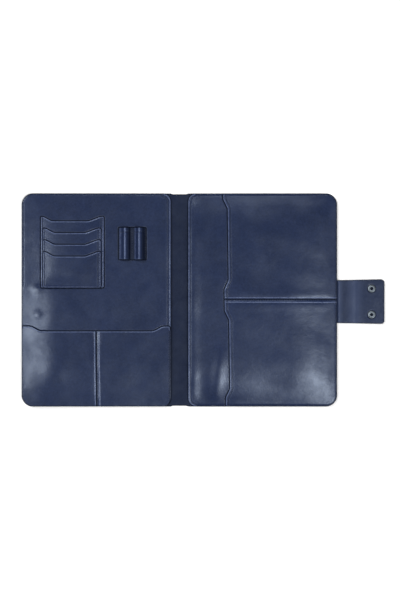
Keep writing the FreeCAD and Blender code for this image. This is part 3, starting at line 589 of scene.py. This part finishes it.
# -------------------------------- pockets
def sewn_distance(p, side):
    """Distance inwards from the three sewn sides of a cover, round its corners."""
    x, y = REACH - side * p[:, 0], HALF - np.abs(p[:, 1])
    corner = CORNER - np.hypot(np.maximum(CORNER - x, 0), np.maximum(CORNER - y, 0))
    return np.where((x < CORNER) & (y < CORNER), corner, np.minimum(x, y))


def hill(p, side, room):
    """How far a dished panel stands off the lining: a small step at its seam, then a long swell."""
    step = min(0.7, 0.4 * room)
    step_start, step_run, flat_rim = 0.6, 3.4, 2.0
    swell = 1.0
    for away in (REACH - side * p[:, 0], HALF - np.abs(p[:, 1])):
        swell = swell * np.sin(np.clip((away - flat_rim) / SWELL, 0, 1) * math.pi / 2)
    return step * ease((sewn_distance(p, side) - step_start) / step_run) + (room - step) * swell


def loose(p, side):
    """Nothing at the seams, one well inside: where the leather is free to wave."""
    return ease(sewn_distance(p, side) / 22)


def sleeve_top(p):
    """The empty sleeve lies in soft folds beside its mouth, and in one long fold low down."""
    room = PANEL_LOW[2] - BASE
    x, y = p[:, 0], p[:, 1]
    lifted = 0.5 + 0.6 * dent(y - 12, 28) + 0.4 * dent(y + 125, 18)
    mouth_fold = lifted * dent(x - MOUTH - 9, 8)
    low_fold = 1.1 * ease((-55 - y) / 50) * dent(x - 62 - 0.12 * (y + 90), 10)
    folds = ripple(p, 3, 80, 0.24) + mouth_fold + low_fold
    return BASE + SKIN + hill(p, 1, room) + loose(p, 1) * folds


def document_top(p):
    """Flat above the foot of the card pockets, rolled down towards the outer side below it."""
    room = DOC_LOW[2] - BASE
    outer, bottom = REACH + p[:, 0], HALF + p[:, 1]
    below_cards = ease((CARDS[0][0][1] + 6 - p[:, 1]) / 9)
    roll_run, hump_height, hump_place, hump_width = 50, 1.2, 52, 26
    roll = room * np.sin(np.clip(outer / roll_run, 0, 1) * math.pi / 2)
    roll += hump_height * dent(outer - hump_place, hump_width)
    roll *= np.sin(np.clip(bottom / SWELL, 0, 1) * math.pi / 2)
    z = BASE + SKIN + hill(p, -1, room) * (1 - below_cards) + roll * below_cards
    z += loose(p, -1) * ripple(p, 5, 70, 0.2)
    stud_bump, bump_width = 0.8, 6.0
    for spot in STUD_SPOTS:
        z += stud_bump * dent(np.linalg.norm(p - spot, axis=1), bump_width)
    return z


def divider_puff(across, depth):
    """A seam through a pocket pulls it down, and the leather puffs up on both sides."""
    return -depth * dent(across, 2.6) + 0.35 * depth * dent(np.abs(across) - 9.0, 6.0)


def twin_top(p):
    """The twin pocket's leaf follows the sleeve it is sewn to, drawn down along its divider."""
    lift = TWIN_HIGH[2] - PANEL_HIGH[2]
    swell = 0.3 + ripple(p, 8, 100, 0.13) + divider_puff(p[:, 1], 0.6)
    return sleeve_top(p) + lift + loose(p, 1) * swell


def lower_divide_line(p):
    """Signed distance to the lower pocket's divider, which leans a little."""
    lean = 1.25 * (p[:, 1] + HALF) / HALF - 1.25
    return p[:, 0] - LOWER_DIVIDE + lean


def lower_top(p):
    """The lower pocket's leaf follows the document panel, drawn down along its divider."""
    lift = LOWER_HIGH[2] - DOC_HIGH[2]
    swell = 0.3 + ripple(p, 12, 80, 0.25) + divider_puff(lower_divide_line(p), 0.5)
    return document_top(p) + lift + loose(p, -1) * swell


def minus(top, thickness):
    """Height function of the underside of a leather whose top is given."""
    return lambda p: top(p) - thickness


def panel_outline(side):
    """A cover's dished panel, from its mouth beside the spine to the cover's outer edge."""
    near, far, top = side * MOUTH, side * (REACH - PANEL_INSET), HALF - PANEL_INSET
    return rounded([(near, -top, MOUTH_CORNER), (far, -top, CORNER), (far, top, CORNER),
                    (near, top, MOUTH_CORNER)])


def wave(points, radius):
    """Corners of one radius at each of the points."""
    return [(x, y, radius) for x, y in points]


def dipped_mouth(left, right, dip, left_step, right_step, radius):
    """Corners of a mouth from right to left, stepping down to dip between two (x, y) ends."""
    return wave([(right[0] - right_step[0], right[1]), (right[0] - right_step[1], dip),
                 (left[0] + left_step[1], dip), (left[0] + left_step[0], left[1])], radius)


def open_edge(outline, free):
    """Distance function to the part of an outline that isn't sewn; free picks its points."""
    after = np.roll(outline, -1, axis=0)
    chosen = free(outline) & free(after)
    starts, ends = outline[chosen], after[chosen]
    return lambda p: distance(p, starts, ends)


def whole_edge(outline):
    """Distance function to all of an outline."""
    return lambda p: distance(p, outline)


def twin_edge_x(y, recess):
    """Where the waved edge runs at a height: in a thumb recess (1) or on a tab (0)."""
    return TWIN_EDGE + TWIN_LEAN * (0.5 - y / (2 * HALF)) + recess * TWIN_NOTCH


def twin_edge_points():
    """The waved edge from top to bottom: two thumb recesses between three tabs."""
    points = []
    for middle, above, below in TWIN_STEPS:
        points.append((twin_edge_x(middle + TWIN_RUN, above), middle + TWIN_RUN))
        points.append((twin_edge_x(middle - TWIN_RUN, below), middle - TWIN_RUN))
    return points


def twin_outline():
    """The twin pocket's leaf, sewn on three sides and waved on the fourth."""
    far, top = REACH - LEAF_INSET, HALF - LEAF_INSET
    corners = [(far, -top, CORNER), (far, top, CORNER), (twin_edge_x(HALF, 0), top, 0)]
    corners += wave(twin_edge_points(), TWIN_RADIUS)
    return rounded(corners + [(twin_edge_x(-HALF, 0), -top, 0)])


def twin_mouth():
    """Distance function to the waved edge."""
    farthest = TWIN_EDGE + 12.5
    return open_edge(twin_outline(), lambda p: (p[:, 0] < farthest) & (abs(p[:, 1]) < HALF - 0.4))


def twin_pocket():
    """The leaf that makes two pockets on the sleeve panel, one above the other."""
    mouth = twin_mouth()
    guide = [((TWIN_LOW[0], 0), (REACH, 0), DIVIDER_ROWS)]
    obj = leather("twin_pocket_leather", twin_outline(), twin_top, minus(twin_top, SKIN * 0.9),
                  INSIDE, 4.0, guide, crease=lambda p: mouth(p) - 4.8, divide=lambda p: p[:, 1],
                  mouth=mouth)
    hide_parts("twin_pocket_leaf", "twin_pocket_leaf_border")
    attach(obj, "back_cover")


def lower_outline():
    """The lower pocket, its mouth dropping between two shoulders."""
    left, right, bottom = LEAF_INSET - REACH, LOWER_HIGH[0], LEAF_INSET - HALF
    left_end, right_end = (left, LOWER_EDGE), (right, LOWER_EDGE)
    corners = [(left, bottom, CORNER), (right, bottom, MOUTH_CORNER - 1.5), (*right_end, 3)]
    corners += dipped_mouth(left_end, right_end, LOWER_DIP, LOWER_LEFT_STEP, LOWER_RIGHT_STEP,
                            LOWER_RADIUS)
    return rounded(corners + [(*left_end, 1)])


def lower_mouth():
    """Distance function to the lower pocket's mouth."""
    sewn_up_to, sewn_side = LOWER_DIP - 0.5, 0.5 - REACH
    return open_edge(lower_outline(), lambda p: (p[:, 1] > sewn_up_to) & (p[:, 0] > sewn_side))


def lower_pocket():
    """The leaf that makes two pockets side by side, low on the document panel."""
    mouth = lower_mouth()
    guide = [((LOWER_DIVIDE, -HALF), (LOWER_DIVIDE, LOWER_DIP), DIVIDER_ROWS)]
    obj = leather("lower_pocket_leather", lower_outline(), lower_top, minus(lower_top, SKIN * 0.9),
                  INSIDE, 4.0, guide, divide=lambda p: -lower_divide_line(p), mouth=mouth,
                  tilt=full_tilt)
    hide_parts("lower_pocket_leaf", "lower_pocket_leaf_border")
    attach(obj, "front_cover")


def card_outline(index):
    """A card leaf, its mouth dropping from both ends, more slowly on the right."""
    (left, bottom, _), (right, top, _) = CARDS[index]
    corners = [(left, bottom, 2), (right, bottom, 2), (right, top, 1.5)]
    corners += dipped_mouth((left, top), (right, top), top - CARD_DROP, CARD_LEFT_STEP,
                            CARD_RIGHT_STEP, CARD_RADIUS)
    return rounded(corners + [(left, top, 1)], 2.0)


def card_height(index):
    """Top of a card leaf over the panel it lies on, swelling between its stitched sides."""
    low, high = CARDS[index]
    lift = high[2] - DOC_HIGH[2] + 0.1

    def top(p):
        across = np.clip((p[:, 0] - low[0]) / (high[0] - low[0]), 0, 1)
        foot = ease((p[:, 1] - low[1]) / 24)
        return document_top(p) + lift + 1.5 * np.sin(math.pi * across ** 0.8) * foot
    return top


def card_block():
    """Four card leaves, each on top of the last."""
    for index, (low, high) in enumerate(CARDS):
        name = f"card_leaf_{index + 1}"
        outline = card_outline(index)
        top = card_height(index)
        thick = high[2] - low[2] + 0.05
        left, right = low[0] + 3.0, high[0] - 5.0
        above, on_top = None, ()
        if index < 3:
            next_dip = CARDS[index + 1][1][1] - CARD_DROP - 0.5
            on_top = (card_outline(index + 1),)
            # The shader paints shade on this leaf beside the next leaf's mouth.
            above = open_edge(on_top[0], lambda p: p[:, 1] > next_dip)
        obj = leather(f"{name}_leather", outline, top, minus(top, thick), INSIDE, 4.0,
                      tilt=full_tilt, crease=lambda p: np.minimum(right - p[:, 0], p[:, 0] - left),
                      mouth=whole_edge(outline), over=above, fine=on_top, rings=CARD_RINGS)
        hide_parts(name)
        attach(obj, "front_cover")


def loop_outline():
    """The rectangle that the pen loops' strip covers."""
    (left, low, _), (right, high, _) = LOOP_LOW, LOOP_HIGH
    return rounded(wave([(left, low), (right, low), (right, high), (left, high)], 1))


def on_document_panel():
    """Distance to the nearest thing lying on the document panel."""
    edges = [lower_mouth(), whole_edge(card_outline(0)), whole_edge(loop_outline())]
    return lambda p: np.minimum.reduce([edge(p) for edge in edges])


def panels():
    """The dished panels of both covers, open towards the spine, each pressed beside its mouth."""
    for name, side, top, body, above, on_top, line_inset in (
            ("sleeve_panel", 1, sleeve_top, "back_cover", twin_mouth(), (twin_outline(),), 4.4),
            ("document_panel", -1, document_top, "front_cover", on_document_panel(),
             (lower_outline(), card_outline(0), loop_outline()), 5.8)):
        line = side * (MOUTH + line_inset)
        guide = [((line, -HALF), (line, HALF), CREASE_ROWS)]
        outline = panel_outline(side)
        mouth = open_edge(outline, lambda p: side * p[:, 0] < MOUTH + MOUTH_CORNER * 0.9)
        # The shader paints shade on the panel beside the edges of what lies on it (above).
        obj = leather(f"{name}_leather", outline, top, minus(top, SKIN * 0.92), INSIDE,
                      4.0, guide, crease=lambda p: mouth(p) - line_inset, mouth=mouth,
                      over=above, tilt=full_tilt if side < 0 else None, fine=on_top)
        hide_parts(name, f"{name}_border")
        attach(obj, body)


LOOP_SKIN, LOOP_HEM = 1.1, 7.3
LOOP_MIDDLE = (LOOP_LOW[0] + LOOP_HIGH[0]) / 2
LOOP_RIDGES = (LOOP_MIDDLE - 10.9, LOOP_MIDDLE + 10.9)
LOOP_FOOT, LOOP_SHOULDER, LOOP_TOP = 7.2, 6.4, 0.4


def loop_profile():
    """Middle line of the pen loop strip across the loops, each a soft tent creased at its top."""
    ground = LOOP_LOW[2] + LOOP_SKIN / 2
    rise = LOOP_HIGH[2] - LOOP_LOW[2] - LOOP_SKIN
    half_way = ground + rise * 0.5
    corners = [(LOOP_LOW[0], ground)]
    for ridge in LOOP_RIDGES:
        corners += [(ridge - LOOP_FOOT, ground), (ridge - LOOP_SHOULDER, half_way),
                    (ridge - LOOP_TOP, ground + rise), (ridge + LOOP_SHOULDER, half_way),
                    (ridge + LOOP_FOOT, ground)]
    corners.append((LOOP_HIGH[0], ground))
    return arc_path([np.array(c) for c in corners], 1.6)


def strip_faces(stations, wide):
    """Faces of a closed strip: at each station, a row of wide points on top and one below."""
    faces = []
    for station in range(stations - 1):
        a, b = 2 * wide * station, 2 * wide * (station + 1)
        for k in range(wide - 1):
            faces.append((a + k, a + k + 1, b + k + 1, b + k))
            faces.append((a + wide + k + 1, a + wide + k, b + wide + k, b + wide + k + 1))
        faces.append((a + wide, a, b, b + wide))
        faces.append((a + wide - 1, a + 2 * wide - 1, b + 2 * wide - 1, b + wide - 1))
    last = 2 * wide * (stations - 1)
    for k in range(wide - 1):
        faces.append((k + 1, k, wide + k, wide + k + 1))
        faces.append((last + k, last + k + 1, last + wide + k + 1, last + wide + k))
    return faces


def pen_loops():
    """One strip of leather with two arched loops and a turned hem at its upper end."""
    profile = loop_profile()
    x, z = profile.T
    tangent = np.gradient(profile, axis=0)
    normal = np.stack([-tangent[:, 1], tangent[:, 0]], axis=1)
    normal /= np.linalg.norm(normal, axis=1)[:, None]
    across = np.concatenate([[0], np.cumsum(np.linalg.norm(np.diff(profile, axis=0), axis=1))])
    from_side = np.minimum(across, across[-1] - across)
    raised = z > LOOP_LOW[2] + 2 * LOOP_SKIN
    # from_fold puts painted highlight lines at each ridge and left foot; shaded marks the right flanks and the
    # gaps between the loops for painted shade.
    from_fold = np.min([abs(x - ridge + foot) for ridge in LOOP_RIDGES for foot in (0, 6.8)], axis=0)
    shaded = np.any([(x - ridge > 2.6) & (x - ridge < 15.2) for ridge in LOOP_RIDGES], axis=0)
    length = LOOP_HIGH[1] - LOOP_LOW[1]
    ends = np.array([0, 0.15, 0.5, 1.2])
    stations = np.concatenate([ends, np.linspace(2.5, length - 2.5, 34), length - ends[::-1]])
    points, marks = [], {mark: [] for mark in MARKS}
    for station in stations:
        end = min(station, length - station)
        share = 0.55 + 0.45 * math.sqrt(1 - (1 - min(end / 0.5, 1)) ** 2)
        from_hem = LOOP_HEM - (length - station)
        press = -0.7 * math.exp(-from_hem ** 2)
        flare = 1 + 0.012 * math.cos(2 * math.pi * station / length)
        measures = (np.minimum(end, from_side), from_hem, FAR, 1.0 + np.minimum(from_fold, station),
                    np.where(shaded, 0.9, FAR))
        for side in (0.5, -0.5):
            shift = normal * (side * LOOP_SKIN * share + press * raised)[:, None]
            height = (z + shift[:, 1] - LOOP_LOW[2]) * np.where(raised, flare, 1)
            y = np.full(len(x), LOOP_LOW[1] + station)
            points.append(np.column_stack([x + shift[:, 0], y, LOOP_LOW[2] + height]))
            for mark, measure in zip(MARKS, measures):
                marks[mark].append(np.full(len(x), measure))
    marks = {mark: np.concatenate(values) for mark, values in marks.items()}
    obj = make_object("pen_loops_leather", np.concatenate(points),
                      strip_faces(len(stations), len(profile)), marks, INSIDE, TILT)
    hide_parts("pen_loops")
    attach(obj, "front_cover")


# -------------------------------- strap
def strap_half_width(x):
    """Half the strap's width, which grows evenly from the cover's edge to its tip."""
    return ROOT_HALF + (TIP_HALF - ROOT_HALF) * np.clip((x - REACH) / (STRAP_HIGH[0] - REACH), 0, 1)


def strap_edge(x, side, inset=0.0):
    """The point at x on the strap's upper (1) or lower (-1) edge, or inset from it."""
    return x, STRAP_MIDDLE + side * (strap_half_width(x) - inset)


def strap_outline(start, end, tip):
    """A length of the strap, with rounded corners at its tip."""
    radius = STRAP_CORNER if tip else 0
    return rounded([(*strap_edge(start, -1), 0), (*strap_edge(end, -1), radius),
                    (*strap_edge(end, 1), radius), (*strap_edge(start, 1), 0)], 1.6)


def strap_top_height(p):
    """Full thickness outside the cover, thinned to the tongue inside its seam."""
    swell = ease((p[:, 0] - REACH + 0.1) / 3.2)
    thick = TONGUE_HIGH[2] + (STRAP_TOP - TONGUE_HIGH[2]) * swell
    return thick - 0.12 * dent(p[:, 0] - STRAP_BEND, 3.0)


def strap_split(p):
    """The glued joint between the strap's two leathers."""
    return np.minimum(STRAP_HIGH[2], strap_top_height(p) - 0.3)


def beside_socket(p):
    """Small under a socket's hole and along its outer edge, where the strap's lining gets painted shade."""
    away = np.min([np.linalg.norm(p - spot, axis=1) for spot in SOCKET_SPOTS], axis=0)
    return np.where(away < 0.55 * SOCKET_RADIUS, 0.0, np.abs(away - SOCKET_RADIUS) + 0.3)


def socket_circles():
    """A circle under each socket, for the mesh to follow."""
    turns = np.linspace(0, 2 * math.pi, 24, endpoint=False)
    ring = 0.72 * SOCKET_RADIUS * np.column_stack([np.cos(turns), np.sin(turns)])
    return [spot + ring for spot in SOCKET_SPOTS]


def strap_pieces():
    """Two leathers, each in a root length and an end length that meet between the creases."""
    middle = (STRAP_ROOT + STRAP_BEND) / 2
    for name, start, end, crease in (("root", TONGUE_LOW[0] + 0.5, middle, STRAP_ROOT),
                                     ("end", middle, STRAP_HIGH[0], STRAP_BEND)):
        is_tip = name == "end"
        guide = [((crease, STRAP_LOW[1]), (crease, STRAP_HIGH[1]), STRAP_ROWS)]
        for layer, top, under in (("outer", strap_split, level(STRAP_LOW[2])),
                                  ("lining", strap_top_height, strap_split)):
            under_sockets = is_tip and layer == "lining"
            obj = leather(f"strap_{layer}_{name}_leather", strap_outline(start, end, is_tip),
                          top, under, STRAP, 3.0, guide, cut=middle,
                          over=beside_socket if under_sockets else None, rings=STRAP_RINGS,
                          fine=socket_circles() if under_sockets else ())
            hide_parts(f"strap_{layer}_{'end' if is_tip else 'side'}")
            if not is_tip and layer == "outer":
                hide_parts("strap_tongue")
            if is_tip:
                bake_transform(obj)
            else:
                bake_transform(obj)


# -------------------------------- stitches
# A stitch is a short rod whose ends dip into the leather. Each ring of it is given as its place
# along the stitch and its girth, both as shares, with its lift off the leather between them.
PITCH, STITCH, GIRTH, ROD_SIDES = 3.6, 2.8, 0.34, 6
ROD = ((-0.5, -0.22, 0.5), (-0.34, 0.1, 0.92), (0.0, 0.24, 1.0), (0.34, 0.1, 0.92),
       (0.5, -0.22, 0.5))


def walk(path, pitch):
    """Middles and directions of stitches spaced evenly along a path of points."""
    path = np.array(path, float)
    lengths = np.linalg.norm(np.diff(path, axis=0), axis=1)
    total = lengths.sum()
    count = max(1, int(total / pitch))
    reach = np.concatenate([[0], np.cumsum(lengths)])
    for k in range(count):
        at = (k + 0.5) * total / count
        i = min(np.searchsorted(reach, at) - 1, len(lengths) - 1)
        way = (path[i + 1] - path[i]) / lengths[i]
        yield path[i] + way * (at - reach[i]), way


def rod_faces(first):
    """Faces of a stitch whose points start at the given number."""
    faces = []
    for ring in range(len(ROD) - 1):
        start = first + ring * ROD_SIDES
        for k in range(ROD_SIDES):
            a, b = start + k, start + (k + 1) % ROD_SIDES
            faces.append((a, b, b + ROD_SIDES, a + ROD_SIDES))
    last = first + (len(ROD) - 1) * ROD_SIDES
    return faces + [tuple(first + k for k in reversed(range(ROD_SIDES))),
                    tuple(last + k for k in range(ROD_SIDES))]


def stitches(seam, runs, body):
    """One seam's rows of stitches. runs are (path, surface height function) pairs."""
    points, faces, rng = [], [], np.random.default_rng(17)
    for path, surface in runs:
        for middle, way in walk(path, PITCH):
            side = np.array([-way[1], way[0]])
            middle = middle + side * rng.uniform(-0.06, 0.06)
            ground = float(surface(middle[None, :])[0])
            faces += rod_faces(len(points))
            for along, lift, girth in ROD:
                for angle in np.linspace(0, 2 * math.pi, ROD_SIDES, endpoint=False):
                    flat = middle + way * along * STITCH + side * math.cos(angle) * GIRTH * girth
                    points.append((*flat, ground + lift + math.sin(angle) * GIRTH * 0.8 * girth))
    tilt = TILT if body == "front_cover" else 0.0
    obj = make_object(f"stitches_{seam}", np.array(points), faces, {}, THREAD, tilt)
    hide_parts(f"thread_{seam}")
    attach(obj, body)


# How far the seams run inside the edge of a cover, and of the leaves and the strap.
COVER_SEAM, LEAF_SEAM = 2.2, 2.0
SEAM_X, SEAM_Y = REACH - COVER_SEAM, HALF - COVER_SEAM
SEAM_START, SEAM_BEND = MOUTH + MOUTH_CORNER, CORNER - COVER_SEAM


def back_cover_stitches():
    """The edge seam in three runs, above, below and round the twin pocket, and its divider."""
    top_end, low_end = twin_edge_x(HALF, 0), twin_edge_x(-HALF, 0)
    stitches("back_edge", [
        ([(SEAM_START, SEAM_Y), (top_end - LEAF_SEAM, SEAM_Y)], sleeve_top),
        ([(SEAM_START, -SEAM_Y), (low_end - LEAF_SEAM, -SEAM_Y)], sleeve_top),
        (arc_path([(top_end + LEAF_SEAM, SEAM_Y), (SEAM_X, SEAM_Y), (SEAM_X, -SEAM_Y),
                   (low_end + LEAF_SEAM, -SEAM_Y)], SEAM_BEND), twin_top)],
        "back_cover")
    divider = [(TWIN_EDGE + 5, 0), (REACH - SLOPE_END, 0)]
    stitches("twin_divider", [(divider, twin_top)], "back_cover")


def front_cover_stitches():
    """The edge seam, over the document panel and the lower pocket, and the pocket's own seams."""
    stitches("front_edge", [
        (arc_path([(-SEAM_START, SEAM_Y), (-SEAM_X, SEAM_Y), (-SEAM_X, LOWER_EDGE + LEAF_SEAM)],
                  SEAM_BEND), document_top),
        (arc_path([(-SEAM_X, LOWER_EDGE - LEAF_SEAM), (-SEAM_X, -SEAM_Y), (-SEAM_START, -SEAM_Y)],
                  SEAM_BEND), lower_top)],
        "front_cover")
    foot, beside_spine = SLOPE_END - HALF, LOWER_HIGH[0] - LEAF_SEAM
    stitches("lower_pocket", [
        ([(LOWER_DIVIDE + 0.6, LOWER_DIP - LEAF_SEAM), (LOWER_DIVIDE + 1.2, foot)], lower_top),
        ([(beside_spine, LOWER_EDGE - 3), (beside_spine, foot)], lower_top)],
        "front_cover")


def card_stitches():
    """Down both sides of each card leaf as far as the next, and round the foot of the last."""
    runs = []
    for index, (low, high) in enumerate(CARDS):
        left, right, top = low[0] + LEAF_SEAM, high[0] - LEAF_SEAM, high[1] - 1
        surface = card_height(index)
        if index < 3:
            next_top = CARDS[index + 1][1][1] + 0.5
            runs += [([(x, top), (x, next_top)], surface) for x in (left, right)]
        else:
            foot = low[1] + LEAF_SEAM
            path = arc_path([(left, top), (left, foot), (right, foot), (right, top)], LEAF_SEAM)
            runs.append((path, surface))
    stitches("card_block", runs, "front_cover")


def loop_stitches():
    """Three straight seams: on both sides of the pen loops and between them."""
    surface = level(LOOP_LOW[2] + LOOP_SKIN)
    low, high = LOOP_LOW[1] + LEAF_SEAM, LOOP_HIGH[1] - LEAF_SEAM
    places = (LOOP_LOW[0] + 1.5, LOOP_MIDDLE, LOOP_HIGH[0] - 1.5)
    stitches("pen_loops", [([(x, low), (x, high)], surface) for x in places], "front_cover")


def spine_stitches():
    """A short seam along each end of the spine."""
    reach = CREASE - 5
    for name, side in (("top", 1), ("bottom", -1)):
        y = side * (SPINE_HALF - COVER_SEAM)
        stitches(f"spine_{name}", [([(-reach, y), (reach, y)], level(BASE))], "spine")


def strap_stitches():
    """Seams along both edges of the strap's side, and round the edge of its end."""
    side_low, side_high = span("strap_outer_side")
    root, bend, slim = side_low[0], side_high[0], LEAF_SEAM
    stitches("strap_side", [
        ([(root + 3, strap_edge(root, side, slim)[1]), (bend - 2, strap_edge(bend, side, slim)[1])],
         strap_top_height) for side in (1, -1)], "strap_side")
    first, tip, wide = STRAP_LOW[0] + 3, STRAP_HIGH[0] - LEAF_SEAM, TIP_HALF - LEAF_SEAM
    path = arc_path([strap_edge(first, 1, slim), (tip, STRAP_MIDDLE + wide),
                     (tip, STRAP_MIDDLE - wide), strap_edge(first, -1, slim)], 3.0)
    stitches("strap_end", [(path, strap_top_height)], "strap_end")


# -------------------------------- hardware, stage and camera
def paint_shade_in_wells():
    """The inside of the sockets and the caps seen through them, given near-black metal as painted shade."""
    for node in ("snap_sockets", "snap_caps"):
        obj = frame["nodes"][node]
        obj.data.materials.append(SHADE_IN_WELLS)
        for face in obj.data.polygons:
            place = obj.matrix_world @ face.center / MM
            facing = obj.matrix_world.to_3x3() @ face.normal
            out = min((np.array([place.x, place.y]) - spot for spot in SOCKET_SPOTS),
                      key=np.linalg.norm)
            inward = np.dot(out, (facing.x, facing.y)) < -0.3 * np.linalg.norm(out)
            if inward or (node == "snap_caps" and facing.z > 0.5):
                face.material_index = 1


def finish_hardware():
    """Materials for the snaps, which stay as the CAD made them."""
    for node in ("snap_sockets", "snap_caps", "snap_studs", "stud_rivets", "snap_springs"):
        obj = frame["nodes"][node]
        obj.data.materials.clear()
        obj.data.materials.append(WIRE if node == "snap_springs" else GUNMETAL)
    paint_shade_in_wells()


def floor_material():
    """Plain white paper."""
    s = Shader("paper_floor")
    where = s.add("TexCoord").outputs["Object"]
    grey = s.blend(s.noise(where, 40.0, 3.0), colour(0.93, 0.93, 0.93), colour(0.96, 0.96, 0.96))
    return s.finish(Base_Color=grey, Roughness=0.9)


def floor():
    """A pale floor just under the folio."""
    reach, gap = 4, 0.0001
    mesh = bpy.data.meshes.new("floor")
    corners = [(-reach, -reach, 0), (reach, -reach, 0), (reach, reach, 0), (-reach, reach, 0)]
    mesh.from_pydata(corners, [], [(0, 1, 2, 3)])
    mesh.materials.append(floor_material())
    obj = add_object("floor", mesh)
    obj.location.z = -gap


def area_light(name, place, size, power):
    """A rectangular light facing the middle of the folio."""
    light = bpy.data.lights.new(name, "AREA")
    light.shape = "RECTANGLE"
    light.size, light.size_y = size
    light.energy = power
    obj = add_object(name, light)
    obj.location = place
    obj.rotation_euler = (-obj.location).to_track_quat("-Z", "Y").to_euler()


def lights():
    """Soft light from the upper left, with small lights overhead that the waxed leather shows."""
    area_light("key", (-3.6, 2.6, 4.4), (1.8, 1.8), 220)
    area_light("left_strip", (-1.68, -0.2, 4.4), (0.7, 1.0), 60)
    area_light("right_corner", (1.2, -1.0, 4.4), (0.8, 0.8), 88)
    area_light("top_strip", (0.2, 1.8, 4.4), (1.0, 0.3), 15)
    area_light("fill", (3.2, -1.6, 4.0), (3.0, 3.0), 70)
    world = bpy.data.worlds.new("studio")
    world.use_nodes = True
    background = world.node_tree.nodes["Background"]
    background.inputs["Color"].default_value = colour(1.0, 1.0, 1.0)
    background.inputs["Strength"].default_value = 0.15
    bpy.context.scene.world = world
    bpy.context.scene.view_settings.view_transform = "Standard"


def camera():
    """A long lens straight above the middle of the open folio and its strap."""
    height, height_shown, middle, sensor = 3.0, 0.9156, 0.0313, 36
    lens = bpy.data.cameras.new("above")
    obj = add_object("above", lens)
    obj.location = (middle, 0.0, height)
    lens.sensor_fit = "VERTICAL"
    lens.sensor_height = sensor
    lens.lens = sensor * height / height_shown
    lens.clip_end = 20
    bpy.context.scene.camera = obj


cover_sheets()
panels()
twin_pocket()
lower_pocket()
card_block()
pen_loops()
strap_pieces()
back_cover_stitches()
front_cover_stitches()
card_stitches()
loop_stitches()
spine_stitches()
strap_stitches()
finish_hardware()
floor()
lights()
camera()
